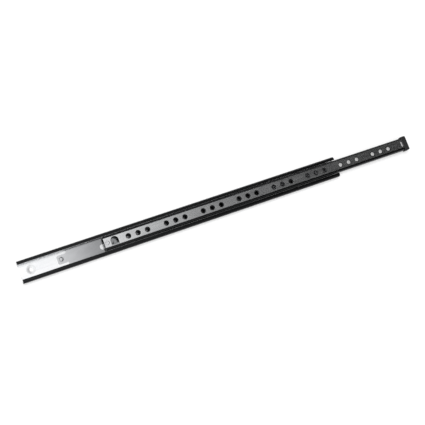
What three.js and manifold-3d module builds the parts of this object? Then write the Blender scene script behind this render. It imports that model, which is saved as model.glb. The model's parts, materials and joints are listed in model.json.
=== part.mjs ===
// Two-member drawer slide with three-quarter extension.
// Millimetres. +X is the way the drawer opens, +Y runs across the rail, +Z points from the
// cabinet side to the drawer. The origin is the middle of the cabinet rail's back face.
import * as THREE from 'three';
import Module from 'manifold-3d';
import { mergeVertices } from 'three/addons/utils/BufferGeometryUtils.js';

// ---- Driving sizes -------------------------------------------------------------------------
const RAIL_LENGTH = 550;         // each steel rail, end to end
const RAIL_HEIGHT = 35;          // across the cabinet rail's two races
const SLIDE_DEPTH = 12.7;        // cabinet face to drawer face
const LIP_RECESS = 1.7;          // the lips sit this far below the drawer face
const OUTER_SHEET = 1.5;         // steel thickness of the cabinet rail
const INNER_SHEET = 1.2;         // steel thickness of the drawer rail
const CAGE_SHEET = 0.7;          // steel thickness of the ball cage
const SEAT_GAP = 0.3;            // running gap between two pieces that touch
const BALL_DIAMETER = 5;
const BALLS_PER_ROW = 13;
const LIP_ANGLE = 112;           // degrees that each lip curls round over the balls
const GROOVE_DEPTH = 0.4;        // ball groove pressed into the drawer rail's flanges
const INNER_BEND = 3.6;          // outside radius between the drawer rail's web and flanges
const FLANGE_TIP_GAP = 0.8;      // drawer rail's flange tips above the cage web
const CAGE_TIP_GAP = 0.4;        // cage's wall tips below the lips
const TRAVEL_SHARE = 0.75;       // full travel as a share of the rail length
const SHOWN_EXTENSION = 133.5;   // how far the slide is drawn out in its rest pose
const CAGE_RATIO = 0.42;         // cage travel for each millimetre of drawer travel
const STOP_GAP = 0.4;            // left between a stop and what meets it

const CAGE_REAR_GAP = 3;         // cage end inside the cabinet rail's rear end when closed
const CAGE_TONGUE_LENGTH = 15.5; // narrow rear end of the cage, without side walls
const CAGE_TONGUE_WIDTH = 14;
const CAGE_FIRST_BALL = 23;      // first ball from the cage's rear end
const CAGE_LAST_BALL = 14;       // last ball from the cage's front end
const CAGE_DIMPLE_FROM_REAR = 6;
const CAGE_DIMPLE_DIAMETER = 8.2;
const CAGE_DIMPLE_RISE = 1.2;
const CAGE_HOLE_FROM_REAR = 72;
const CAGE_HOLE_DIAMETER = 8.5;
const CAGE_HOLE_OFFSET = -2;     // across the rail

const HOLE_GROUPS = 8;           // groups of three round holes along the drawer rail
const HOLES_IN_GROUP = 3;
const GROUP_HOLE_DIAMETER = 6.4;
const GROUP_SINK_DIAMETER = 9;   // countersink of each of those holes
const GROUP_SINK_DEPTH = 0.8;
const GROUP_HOLE_SPACING = 16;
const FIRST_GROUP_FROM_REAR = 55.5;
const LAST_GROUP_FROM_FRONT = 46.5;

const SCREW_HOLE_DIAMETER = 6;   // cabinet rail's screw holes, each in a shallow dimple
const DIMPLE_DIAMETER = 15.5;
const DIMPLE_DEPTH = 0.7;
const REAR_SCREW_FROM_END = 18;
const FRONT_SCREW_FROM_END = 27.5;
const MIDDLE_SCREWS = 2;         // evenly spaced between the rear and the front screw holes
const STOP_TAB_FROM_FRONT = 9;   // tab pressed up from the cabinet rail's web, near its front end
const STOP_TAB_WIDTH = 6;
const STOP_TAB_SHEET = 1.5;
const STOP_TAB_RISE = 1.6;       // above the web
const STOP_TAB_WINDOW = 4.4;     // length of the hole that the tab leaves in the web

const END_SLOT_LENGTH = 9;       // slot across the drawer rail's web, behind the end block
const END_SLOT_WIDTH = 3.1;
const END_SLOT_FROM_FRONT = 2.7; // slot centre from the drawer rail's front end
const BLOCK_LENGTH = 8.4;
const BLOCK_CATCH = 0.9;         // overlap of the block on each lip when the slide is closed
const BLOCK_CORNER = 2;
const BLOCK_ARM_LENGTH = 9.2;    // the two arms that grip the flanges from inside
const BLOCK_ARM_THICKNESS = 2.6;
const BLOCK_FRONT_WALL = 3.6;    // plastic left in front of the hollow between the arms
const BLOCK_TOP_WALL = 1.9;      // plastic left above that hollow

const PIVOT_FROM_REAR = 5.1;     // latch rivet from the drawer rail's rear end
const RIVET_HEAD_DIAMETER = 5.7;
const RIVET_SHANK_DIAMETER = 4;
const RIVET_FOOT_DIAMETER = 7.4;
const RIVET_FOOT_THICKNESS = 0.9;
const WINDOW_FROM_REAR = 10.5;   // arched window in the drawer rail's web
const WINDOW_LENGTH = 12.6;
const WINDOW_WIDTH = 13;
const WINDOW_OFFSET = 0.5;       // across the rail
const LEVER_SHEET = 1;
const LEVER_ARM_WIDTH = 3.8;
const LEVER_SIDE_GAP = 0.5;      // arm's edge to the inside of the drawer rail's bend
const LEVER_EYE_DIAMETER = 8.3;
const LEVER_LENGTH = 24;         // rivet centre to the hook's front face
const LEVER_TAB_WIDTH = 4.2;     // finger tab that stands in the window
const LEVER_TAB_TOP = 0.2;       // tab's end past the middle of the rail
const LEVER_TAB_GAP = 2.2;       // tab's foot to the window's straight edge
const LEVER_TAB_RISE = 1.2;      // tab above the lever's plate
const HOOK_WIDTH = 5;
const HOOK_GAP = 0.6;            // hook tip above the cage web
const LUG_WIDTH = 4;             // lug on the cage that the hook meets at full extension
const LUG_SHEET = 1.6;
const LUG_OVERLAP = 3;           // height of the lug past the hook's tip
const SPRING_WIRE = 0.6;
const SPRING_TURNS = 2.5;
const SPRING_LEG = 5;

// ---- Derived sizes -------------------------------------------------------------------------
const BALL_RADIUS = BALL_DIAMETER / 2;
const RACE_INSIDE = BALL_RADIUS + SEAT_GAP;
const RACE_OUTSIDE = RACE_INSIDE + OUTER_SHEET;
const OUTER_HALF = RAIL_HEIGHT / 2;
const BALL_Y = OUTER_HALF - RACE_OUTSIDE;
const OUTER_DEPTH = SLIDE_DEPTH - LIP_RECESS;
const BALL_Z = OUTER_DEPTH / 2;
const LIP_EDGE_Y = BALL_Y + RACE_OUTSIDE * Math.cos(THREE.MathUtils.degToRad(LIP_ANGLE));
const INNER_HALF = BALL_Y - RACE_INSIDE + GROOVE_DEPTH;
const INNER_FACE_Y = INNER_HALF - INNER_SHEET;
const INNER_UNDER_Z = SLIDE_DEPTH - INNER_SHEET;
const INNER_BEND_INSIDE = INNER_BEND - INNER_SHEET;
const CAGE_UNDER_Z = OUTER_SHEET + SEAT_GAP;
const CAGE_WEB_Z = CAGE_UNDER_Z + CAGE_SHEET;
const CAGE_TIP_Z = OUTER_DEPTH - OUTER_SHEET - CAGE_TIP_GAP;
const FLANGE_TIP_Z = CAGE_WEB_Z + FLANGE_TIP_GAP;

const OUTER_REAR_X = -RAIL_LENGTH / 2;
const OUTER_FRONT_X = RAIL_LENGTH / 2;
const INNER_REAR_X = OUTER_REAR_X + SHOWN_EXTENSION;
const INNER_FRONT_X = INNER_REAR_X + RAIL_LENGTH;
const OPEN_TRAVEL = RAIL_LENGTH * TRAVEL_SHARE - SHOWN_EXTENSION;
const CAGE_REAR_X = OUTER_REAR_X + CAGE_REAR_GAP + CAGE_RATIO * SHOWN_EXTENSION;
const STOP_TAB_X = OUTER_FRONT_X - STOP_TAB_FROM_FRONT;
const CAGE_FRONT_X = STOP_TAB_X - STOP_GAP - CAGE_RATIO * OPEN_TRAVEL;

const PIVOT_X = INNER_REAR_X + PIVOT_FROM_REAR;
const LEVER_TOP_Z = INNER_UNDER_Z - SEAT_GAP;
const LEVER_UNDER_Z = LEVER_TOP_Z - LEVER_SHEET;
const LEVER_FREE_HALF = INNER_HALF - INNER_BEND
  + Math.sqrt(INNER_BEND_INSIDE ** 2 - (INNER_BEND_INSIDE - SEAT_GAP) ** 2);
const HOOK_TIP_Z = CAGE_WEB_Z + HOOK_GAP;
const HOOK_X = PIVOT_X + LEVER_LENGTH;
const LUG_X = HOOK_X + OPEN_TRAVEL * (1 - CAGE_RATIO) + STOP_GAP;
const SPRING_HEIGHT = SPRING_TURNS * (SPRING_WIRE + SEAT_GAP) + SPRING_WIRE;
const RIVET_FOOT_Z = LEVER_UNDER_Z - 2 * SEAT_GAP - SPRING_HEIGHT;
const CUT_PAST = 1;              // how far each cutter runs past the face it cuts

const wasm = await Module();
wasm.setup();

// ---- Finishes ------------------------------------------------------------------------------
const FINISHES = {
  zincSteel: { color: 0xc9ccd0, roughness: 0.28, metalness: 1 },
  cageSteel: { color: 0xb4b7ba, roughness: 0.42, metalness: 1 },
  ballSteel: { color: 0xd8dadd, roughness: 0.12, metalness: 1 },
  springSteel: { color: 0x8d9094, roughness: 0.3, metalness: 1 },
  blackPlastic: { color: 0x17181a, roughness: 0.5, metalness: 0 },
};

// ---- Solid helpers -------------------------------------------------------------------------
// The closed solid of a geometry, with its shared points joined and its empty triangles left out.
function solidOf(geometry) {
  const bare = new THREE.BufferGeometry();
  bare.setAttribute('position', geometry.getAttribute('position').clone());
  if (geometry.index) bare.setIndex(geometry.index.clone());
  const joined = mergeVertices(bare, 1e-4);
  const index = joined.index.array;
  const kept = [];
  for (let i = 0; i < index.length; i += 3) {
    const [a, b, c] = [index[i], index[i + 1], index[i + 2]];
    if (a !== b && b !== c && c !== a) kept.push(a, b, c);
  }
  return new wasm.Manifold(new wasm.Mesh({
    numProp: 3,
    vertProperties: new Float32Array(joined.attributes.position.array),
    triVerts: new Uint32Array(kept),
  }));
}

function geometryOf(solid) {
  const mesh = solid.getMesh();
  const geometry = new THREE.BufferGeometry();
  geometry.setAttribute('position', new THREE.BufferAttribute(mesh.vertProperties.slice(), 3));
  geometry.setIndex(new THREE.BufferAttribute(mesh.triVerts.slice(), 1));
  const flat = geometry.toNonIndexed();
  flat.computeVertexNormals();
  return flat;
}

function addAll(solids) {
  return solids.reduce((whole, next) => whole.add(next));
}

function cutAll(solid, cutters) {
  return cutters.reduce((whole, next) => whole.subtract(next), solid);
}

// A closed outline of (y, z) points, drawn out along X from rearX to frontX.
function alongRail(points, rearX, frontX) {
  const shape = new THREE.Shape(points.map(([y, z]) => new THREE.Vector2(y, z)));
  const geometry = new THREE.ExtrudeGeometry(shape, {
    depth: frontX - rearX,
    bevelEnabled: false,
    steps: 1,
  });
  const turn = new THREE.Matrix4().makeBasis(
    new THREE.Vector3(0, 1, 0),
    new THREE.Vector3(0, 0, 1),
    new THREE.Vector3(1, 0, 0),
  );
  geometry.applyMatrix4(turn);
  geometry.translate(rearX, 0, 0);
  return solidOf(geometry);
}

// A closed outline of (x, y) points, drawn up from lowZ to highZ.
function upFrom(points, lowZ, highZ) {
  const shape = new THREE.Shape(points.map(([x, y]) => new THREE.Vector2(x, y)));
  const geometry = new THREE.ExtrudeGeometry(shape, {
    depth: highZ - lowZ,
    bevelEnabled: false,
    steps: 1,
  });
  geometry.translate(0, 0, lowZ);
  return solidOf(geometry);
}

function box(lowX, highX, lowY, highY, lowZ, highZ) {
  const geometry = new THREE.BoxGeometry(highX - lowX, highY - lowY, highZ - lowZ);
  geometry.translate((lowX + highX) / 2, (lowY + highY) / 2, (lowZ + highZ) / 2);
  return solidOf(geometry);
}

// A round post on the Z axis, or a cone when the two radii differ.
function post(x, y, lowZ, highZ, lowRadius, highRadius = lowRadius, sides = 20) {
  const geometry = new THREE.CylinderGeometry(highRadius, lowRadius, highZ - lowZ, sides);
  geometry.rotateX(Math.PI / 2);
  geometry.translate(x, y, (lowZ + highZ) / 2);
  return solidOf(geometry);
}

function crossPost(x, y, z, radius, length, sides) {
  const geometry = new THREE.CylinderGeometry(radius, radius, length, sides);
  geometry.translate(x, y, z);
  return solidOf(geometry);
}

function arc(centre, radius, fromDegrees, toDegrees, steps) {
  const points = [];
  for (let i = 0; i <= steps; i += 1) {
    const angle = THREE.MathUtils.degToRad(fromDegrees + ((toDegrees - fromDegrees) * i) / steps);
    points.push([centre[0] + radius * Math.cos(angle), centre[1] + radius * Math.sin(angle)]);
  }
  return points;
}

// The other half of an outline that is the same on both sides of y = 0.
function mirrored(points) {
  return points.map(([y, z]) => [-y, z]).reverse();
}

// ---- Cabinet rail --------------------------------------------------------------------------
function cabinetRailOutline() {
  const low = [BALL_Y, RACE_OUTSIDE];
  const high = [BALL_Y, OUTER_DEPTH - RACE_OUTSIDE];
  const half = [
    ...arc(low, RACE_OUTSIDE, -90, 0, 7),
    ...arc(high, RACE_OUTSIDE, 0, LIP_ANGLE, 9),
    ...arc(high, RACE_INSIDE, LIP_ANGLE, 0, 8),
    ...arc(low, RACE_INSIDE, 0, -90, 6),
  ];
  return [...half, ...mirrored(half)];
}

function screwHolePositions() {
  const rear = OUTER_REAR_X + REAR_SCREW_FROM_END;
  const front = OUTER_FRONT_X - FRONT_SCREW_FROM_END;
  const positions = [];
  for (let i = 0; i <= MIDDLE_SCREWS + 1; i += 1) {
    positions.push(rear + ((front - rear) * i) / (MIDDLE_SCREWS + 1));
  }
  return positions;
}

function screwHoleCutters(x) {
  const holeRadius = SCREW_HOLE_DIAMETER / 2;
  const seatZ = OUTER_SHEET - DIMPLE_DEPTH;
  const slope = (DIMPLE_DIAMETER / 2 - holeRadius) / DIMPLE_DEPTH;
  const wideRadius = holeRadius + slope * (DIMPLE_DEPTH + CUT_PAST);
  return [
    post(x, 0, -CUT_PAST, OUTER_SHEET + CUT_PAST, holeRadius, holeRadius, 24),
    post(x, 0, seatZ, OUTER_SHEET + CUT_PAST, holeRadius, wideRadius, 32),
  ];
}

function stopTab() {
  const half = STOP_TAB_WIDTH / 2;
  return box(STOP_TAB_X, STOP_TAB_X + STOP_TAB_SHEET, -half, half, 0, OUTER_SHEET + STOP_TAB_RISE);
}

function stopTabWindow() {
  const half = STOP_TAB_WIDTH / 2;
  const rear = STOP_TAB_X + STOP_TAB_SHEET;
  return box(rear, rear + STOP_TAB_WINDOW, -half, half, -CUT_PAST, OUTER_SHEET + CUT_PAST);
}

function cabinetRail() {
  const sheet = alongRail(cabinetRailOutline(), OUTER_REAR_X, OUTER_FRONT_X);
  const pierced = cutAll(sheet, [...screwHolePositions().flatMap(screwHoleCutters), stopTabWindow()]);
  return pierced.add(stopTab());
}

// ---- Drawer rail ---------------------------------------------------------------------------
function drawerRailOutline() {
  const ball = [BALL_Y, BALL_Z];
  const bend = [INNER_HALF - INNER_BEND, SLIDE_DEPTH - INNER_BEND];
  const outsideAngle = THREE.MathUtils.radToDeg(Math.acos((BALL_Y - INNER_HALF) / RACE_INSIDE));
  const insideRadius = RACE_INSIDE + INNER_SHEET;
  const insideAngle = THREE.MathUtils.radToDeg(Math.acos((BALL_Y - INNER_FACE_Y) / insideRadius));
  const half = [
    [INNER_FACE_Y, FLANGE_TIP_Z],
    [INNER_HALF, FLANGE_TIP_Z],
    ...arc(ball, RACE_INSIDE, 180 + outsideAngle, 180 - outsideAngle, 6),
    ...arc(bend, INNER_BEND, 0, 90, 6),
  ];
  const inside = [
    ...arc(bend, INNER_BEND_INSIDE, 90, 0, 4),
    ...arc(ball, insideRadius, 180 - insideAngle, 180 + insideAngle, 6),
  ];
  return [...half, ...mirrored(half), ...mirrored(inside), ...inside];
}

function groupCentres() {
  const first = INNER_REAR_X + FIRST_GROUP_FROM_REAR;
  const last = INNER_FRONT_X - LAST_GROUP_FROM_FRONT;
  const centres = [];
  for (let i = 0; i < HOLE_GROUPS; i += 1) {
    centres.push(first + ((last - first) * i) / (HOLE_GROUPS - 1));
  }
  return centres;
}

// One countersunk hole: a straight post and the cone of its sink.
function groupHoleCutter(x) {
  const hole = GROUP_HOLE_DIAMETER / 2;
  const slope = (GROUP_SINK_DIAMETER / 2 - hole) / GROUP_SINK_DEPTH;
  const wide = hole + slope * (GROUP_SINK_DEPTH + CUT_PAST);
  const straight = post(x, 0, INNER_UNDER_Z - CUT_PAST, SLIDE_DEPTH, hole);
  return straight.add(post(x, 0, SLIDE_DEPTH - GROUP_SINK_DEPTH, SLIDE_DEPTH + CUT_PAST, hole, wide));
}

function groupHoleCutters(centre) {
  const cutters = [];
  for (let i = 0; i < HOLES_IN_GROUP; i += 1) {
    cutters.push(groupHoleCutter(centre + (i - (HOLES_IN_GROUP - 1) / 2) * GROUP_HOLE_SPACING));
  }
  return cutters;
}

function windowCutter() {
  const rear = INNER_REAR_X + WINDOW_FROM_REAR;
  const radius = WINDOW_LENGTH / 2;
  const low = WINDOW_OFFSET - WINDOW_WIDTH / 2;
  const archCentre = [rear + radius, WINDOW_OFFSET + WINDOW_WIDTH / 2 - radius];
  const outline = [
    [rear, low],
    [rear + WINDOW_LENGTH, low],
    ...arc(archCentre, radius, 0, 180, 12),
  ];
  return upFrom(outline, INNER_UNDER_Z - CUT_PAST, SLIDE_DEPTH + CUT_PAST);
}

function rivetHoleCutter() {
  const shank = RIVET_SHANK_DIAMETER / 2 + SEAT_GAP;
  const head = RIVET_HEAD_DIAMETER / 2 + SEAT_GAP;
  return addAll([
    post(PIVOT_X, 0, INNER_UNDER_Z - CUT_PAST, SLIDE_DEPTH + CUT_PAST, shank, shank, 24),
    post(PIVOT_X, 0, INNER_UNDER_Z, SLIDE_DEPTH, shank, head, 24),
    post(PIVOT_X, 0, SLIDE_DEPTH, SLIDE_DEPTH + CUT_PAST, head, head, 24),
  ]);
}

function endSlotCutter() {
  const centre = INNER_FRONT_X - END_SLOT_FROM_FRONT;
  const radius = END_SLOT_WIDTH / 2;
  const straight = END_SLOT_LENGTH / 2 - radius;
  const outline = [
    ...arc([centre, straight], radius, 0, 180, 6),
    ...arc([centre, -straight], radius, 180, 360, 6),
  ];
  return upFrom(outline, INNER_UNDER_Z - CUT_PAST, SLIDE_DEPTH + CUT_PAST);
}

function drawerRail() {
  const sheet = alongRail(drawerRailOutline(), INNER_REAR_X, INNER_FRONT_X);
  return cutAll(sheet, [
    ...groupCentres().flatMap(groupHoleCutters),
    windowCutter(),
    rivetHoleCutter(),
    endSlotCutter(),
  ]);
}

// ---- Ball cage and balls -------------------------------------------------------------------
function cageOutline() {
  const outer = BALL_Y + CAGE_SHEET / 2;
  const inner = BALL_Y - CAGE_SHEET / 2;
  const bend = CAGE_SHEET * 1.6;
  const half = [
    ...arc([outer - bend, CAGE_UNDER_Z + bend], bend, -90, 0, 4),
    [outer, CAGE_TIP_Z],
    [inner, CAGE_TIP_Z],
    ...arc([outer - bend, CAGE_UNDER_Z + bend], bend - CAGE_SHEET, 0, -90, 3),
  ];
  return [...half, ...mirrored(half)];
}

function ballPositions() {
  const first = CAGE_REAR_X + CAGE_FIRST_BALL;
  const last = CAGE_FRONT_X - CAGE_LAST_BALL;
  const positions = [];
  for (let i = 0; i < BALLS_PER_ROW; i += 1) {
    positions.push(first + ((last - first) * i) / (BALLS_PER_ROW - 1));
  }
  return positions;
}

// What comes off each side of the cage to leave its narrow rear tongue.
function tongueCutters() {
  const rear = CAGE_REAR_X - CUT_PAST;
  const front = CAGE_REAR_X + CAGE_TONGUE_LENGTH;
  const half = CAGE_TONGUE_WIDTH / 2;
  const far = BALL_Y + CAGE_SHEET + CUT_PAST;
  const low = CAGE_UNDER_Z - CUT_PAST;
  const high = CAGE_TIP_Z + CUT_PAST;
  return [box(rear, front, half, far, low, high), box(rear, front, -far, -half, low, high)];
}

// A low dome pressed up from the cage's tongue, with the same hollow on its underside.
function cageDimple() {
  const x = CAGE_REAR_X + CAGE_DIMPLE_FROM_REAR;
  const radius = CAGE_DIMPLE_DIAMETER / 2;
  return post(x, 0, CAGE_WEB_Z - CAGE_SHEET / 2, CAGE_WEB_Z + CAGE_DIMPLE_RISE, radius, radius * 0.55, 24);
}

function cageDimpleHollow() {
  const x = CAGE_REAR_X + CAGE_DIMPLE_FROM_REAR;
  const radius = CAGE_DIMPLE_DIAMETER / 2 - CAGE_SHEET;
  const top = CAGE_UNDER_Z + CAGE_DIMPLE_RISE;
  return post(x, 0, CAGE_UNDER_Z - CUT_PAST, top, radius, radius * 0.55, 24);
}

function cageLug() {
  const half = LUG_WIDTH / 2;
  return box(LUG_X, LUG_X + LUG_SHEET, -half, half, CAGE_UNDER_Z, HOOK_TIP_Z + LUG_OVERLAP);
}

function cageHoleCutter() {
  const x = CAGE_REAR_X + CAGE_HOLE_FROM_REAR;
  const radius = CAGE_HOLE_DIAMETER / 2;
  return post(x, CAGE_HOLE_OFFSET, CAGE_UNDER_Z - CUT_PAST, CAGE_WEB_Z + CUT_PAST, radius, radius, 24);
}

function ballCage() {
  const sheet = alongRail(cageOutline(), CAGE_REAR_X, CAGE_FRONT_X);
  const pockets = ballPositions().flatMap((x) => [
    crossPost(x, BALL_Y, BALL_Z, RACE_INSIDE, CAGE_SHEET * 3, 16),
    crossPost(x, -BALL_Y, BALL_Z, RACE_INSIDE, CAGE_SHEET * 3, 16),
  ]);
  const formed = addAll([sheet, cageDimple(), cageLug()]);
  return cutAll(formed, [...pockets, ...tongueCutters(), cageDimpleHollow(), cageHoleCutter()]);
}

function ball(x, y) {
  const geometry = new THREE.SphereGeometry(BALL_RADIUS, 12, 8);
  geometry.translate(x, y, BALL_Z);
  return solidOf(geometry);
}

// ---- End block -----------------------------------------------------------------------------
function endBlock() {
  const rear = INNER_FRONT_X + SEAT_GAP;
  const front = rear + BLOCK_LENGTH;
  const half = LIP_EDGE_Y + BLOCK_CATCH;
  const corner = BLOCK_CORNER;
  const body = upFrom([
    [rear, -half],
    ...arc([front - corner, -half + corner], corner, -90, 0, 5),
    ...arc([front - corner, half - corner], corner, 0, 90, 5),
    [rear, half],
  ], FLANGE_TIP_Z, SLIDE_DEPTH);
  const armOutside = INNER_FACE_Y - GROOVE_DEPTH - SEAT_GAP;
  const armInside = armOutside - BLOCK_ARM_THICKNESS;
  const armRear = rear - BLOCK_ARM_LENGTH;
  const armTop = SLIDE_DEPTH - INNER_BEND;
  const hollowFront = front - BLOCK_FRONT_WALL;
  const hollowTop = SLIDE_DEPTH - BLOCK_TOP_WALL;
  const hollow = box(rear - CUT_PAST, hollowFront, -armInside, armInside, FLANGE_TIP_Z - CUT_PAST, hollowTop);
  return addAll([
    body.subtract(hollow),
    box(armRear, rear + CUT_PAST, armInside, armOutside, FLANGE_TIP_Z, armTop),
    box(armRear, rear + CUT_PAST, -armOutside, -armInside, FLANGE_TIP_Z, armTop),
  ]);
}

// ---- Latch ---------------------------------------------------------------------------------
function latchLever() {
  const armLow = LEVER_SIDE_GAP - LEVER_FREE_HALF;
  const armHigh = armLow + LEVER_ARM_WIDTH;
  const eye = LEVER_EYE_DIAMETER / 2;
  const crossRear = HOOK_X - LEVER_ARM_WIDTH;
  const tabX = INNER_REAR_X + WINDOW_FROM_REAR + WINDOW_LENGTH / 2;
  const tabRear = tabX - LEVER_TAB_WIDTH / 2;
  const tabFront = tabX + LEVER_TAB_WIDTH / 2;
  const tabFoot = WINDOW_OFFSET - WINDOW_WIDTH / 2 + LEVER_TAB_GAP;
  const plate = (lowX, highX, lowY, highY) => box(lowX, highX, lowY, highY, LEVER_UNDER_Z, LEVER_TOP_Z);
  const solid = addAll([
    post(PIVOT_X, 0, LEVER_UNDER_Z, LEVER_TOP_Z, eye, eye, 24),
    plate(PIVOT_X - LEVER_ARM_WIDTH / 2, PIVOT_X + LEVER_ARM_WIDTH / 2, armLow, 0),
    plate(PIVOT_X - LEVER_ARM_WIDTH / 2, HOOK_X, armLow, armHigh),
    plate(crossRear, HOOK_X, armLow, HOOK_WIDTH / 2),
    plate(tabRear, tabFront, armLow, LEVER_TAB_TOP),
    box(tabRear, tabFront, tabFoot, LEVER_TAB_TOP, LEVER_UNDER_Z, LEVER_TOP_Z + LEVER_TAB_RISE),
    box(HOOK_X - LEVER_SHEET, HOOK_X, -HOOK_WIDTH / 2, HOOK_WIDTH / 2, HOOK_TIP_Z, LEVER_TOP_Z),
  ]);
  const bore = RIVET_SHANK_DIAMETER / 2 + SEAT_GAP;
  return solid.subtract(
    post(PIVOT_X, 0, LEVER_UNDER_Z - CUT_PAST, LEVER_TOP_Z + CUT_PAST, bore, bore, 24),
  );
}

function latchRivet() {
  const shank = RIVET_SHANK_DIAMETER / 2;
  const head = RIVET_HEAD_DIAMETER / 2;
  const foot = RIVET_FOOT_DIAMETER / 2;
  const footLow = RIVET_FOOT_Z - RIVET_FOOT_THICKNESS;
  const profile = [
    [0, footLow],
    [foot, footLow],
    [foot, RIVET_FOOT_Z],
    [shank, RIVET_FOOT_Z],
    [shank, INNER_UNDER_Z],
    [head, SLIDE_DEPTH],
    [0, SLIDE_DEPTH],
  ];
  const geometry = new THREE.LatheGeometry(profile.map(([r, z]) => new THREE.Vector2(r, z)), 24);
  geometry.rotateX(Math.PI / 2);
  geometry.translate(PIVOT_X, 0, 0);
  return solidOf(geometry);
}

// The torsion spring's centre line: a straight leg, the coil round the rivet, a straight leg.
class SpringPath extends THREE.Curve {
  getPoint(share, target = new THREE.Vector3()) {
    const radius = RIVET_SHANK_DIAMETER / 2 + SEAT_GAP + SPRING_WIRE / 2;
    const coil = SPRING_TURNS * 2 * Math.PI * radius;
    const run = share * (coil + 2 * SPRING_LEG) - SPRING_LEG;
    const onCoil = Math.min(Math.max(run, 0), coil);
    const past = run - onCoil;
    const angle = onCoil / radius;
    const lowZ = RIVET_FOOT_Z + SEAT_GAP + SPRING_WIRE / 2;
    const z = lowZ + (onCoil / coil) * (SPRING_HEIGHT - SPRING_WIRE);
    return target.set(
      PIVOT_X + radius * Math.cos(angle) - past * Math.sin(angle),
      radius * Math.sin(angle) + past * Math.cos(angle),
      z,
    );
  }
}

function latchSpring() {
  const ring = arc([0, 0], SPRING_WIRE / 2, 0, 300, 5);
  const section = new THREE.Shape(ring.map(([x, y]) => new THREE.Vector2(x, y)));
  const geometry = new THREE.ExtrudeGeometry(section, {
    steps: Math.round(SPRING_TURNS * 16),
    extrudePath: new SpringPath(),
    bevelEnabled: false,
  });
  return solidOf(geometry);
}

// ---- The slide -----------------------------------------------------------------------------
function piece(name, solid, finish) {
  const material = new THREE.MeshStandardMaterial({ name: `${name}_finish`, ...FINISHES[finish] });
  const mesh = new THREE.Mesh(geometryOf(solid), material);
  mesh.name = name;
  return mesh;
}

const slide = new THREE.Group();
slide.name = 'drawer_slide';
slide.add(piece('cabinet_rail', cabinetRail(), 'zincSteel'));
slide.add(piece('drawer_rail', drawerRail(), 'zincSteel'));
slide.add(piece('ball_cage', ballCage(), 'cageSteel'));
ballPositions().forEach((x, i) => {
  const number = String(i + 1).padStart(2, '0');
  slide.add(piece(`ball_upper_${number}`, ball(x, BALL_Y), 'ballSteel'));
  slide.add(piece(`ball_lower_${number}`, ball(x, -BALL_Y), 'ballSteel'));
});
slide.add(piece('end_block', endBlock(), 'blackPlastic'));
slide.add(piece('latch_lever', latchLever(), 'zincSteel'));
slide.add(piece('latch_rivet', latchRivet(), 'zincSteel'));
slide.add(piece('latch_spring', latchSpring(), 'springSteel'));

export default slide;
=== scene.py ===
import json
import math

import bmesh
import bpy
from mathutils import Matrix, Vector


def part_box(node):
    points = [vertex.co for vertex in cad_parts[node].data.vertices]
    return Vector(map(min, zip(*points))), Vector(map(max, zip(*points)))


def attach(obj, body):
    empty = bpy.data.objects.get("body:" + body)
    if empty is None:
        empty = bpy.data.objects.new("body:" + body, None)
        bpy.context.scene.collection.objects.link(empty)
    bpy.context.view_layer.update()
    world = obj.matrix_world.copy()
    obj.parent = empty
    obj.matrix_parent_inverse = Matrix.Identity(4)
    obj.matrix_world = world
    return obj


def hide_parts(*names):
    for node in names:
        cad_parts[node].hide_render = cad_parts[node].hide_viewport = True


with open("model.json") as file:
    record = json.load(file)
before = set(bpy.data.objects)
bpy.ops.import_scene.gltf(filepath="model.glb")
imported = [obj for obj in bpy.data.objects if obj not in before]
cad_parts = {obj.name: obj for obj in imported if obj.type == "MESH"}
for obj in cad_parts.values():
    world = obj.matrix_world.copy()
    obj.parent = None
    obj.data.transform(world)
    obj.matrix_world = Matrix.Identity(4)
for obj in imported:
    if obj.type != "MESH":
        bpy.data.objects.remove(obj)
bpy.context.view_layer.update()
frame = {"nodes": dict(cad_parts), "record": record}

MM = 0.001

# ---- Sizes in millimetres -------------------------------------------------------------------
# The sections that the strip is rolled to.
OUTER_SHEET = 1.5
OUTER_DEPTH = 11.0
RACE_OUTSIDE = 4.3
LIP_ANGLE = 112
INNER_SHEET = 1.2
INNER_BEND = 3.6
BALL_GROOVE = 2.8
FLANGE_TIP = 3.3
CAGE_SHEET = 0.7
# The cage's bend ends clear of the ball pockets, so that no pocket's rim lies on the bend's edge.
CAGE_BEND = 1.0
CAGE_TIP = 9.1
BALL_RADIUS = 2.5
RUNNING_GAP = 0.3

# Cabinet rail: screw holes in dimples, and the stop tab pressed up from its web.
SCREW_HOLE = 6.0
SCREW_DIMPLE = 15.5
SCREW_DIMPLE_DEPTH = 0.7
REAR_SCREW = 18.0
FRONT_SCREW = 27.5
SCREWS = 4
STOP_TAB_FROM_FRONT = 9.0
STOP_TAB_WIDTH = 6.0
STOP_TAB_SHEET = 1.5
STOP_TAB_RISE = 1.6
STOP_TAB_ROUND = 0.8
STOP_TAB_WINDOW = 4.4

# Drawer rail: groups of round holes, the latch window, the rivet hole and the end slot.
HOLE_GROUPS = 8
GROUP_HOLE = 6.4
GROUP_SINK = 9.0
GROUP_SINK_DEPTH = 0.8
HOLE_SPACING = 16.0
FIRST_GROUP = 55.5
LAST_GROUP = 46.5
WINDOW_REAR = 10.5
WINDOW_LENGTH = 12.6
WINDOW_WIDTH = 13.0
WINDOW_OFFSET = 0.5
END_SLOT_FROM_FRONT = 2.7
END_SLOT_WIDTH = 3.1
END_SLOT_LENGTH = 9.0

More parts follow.
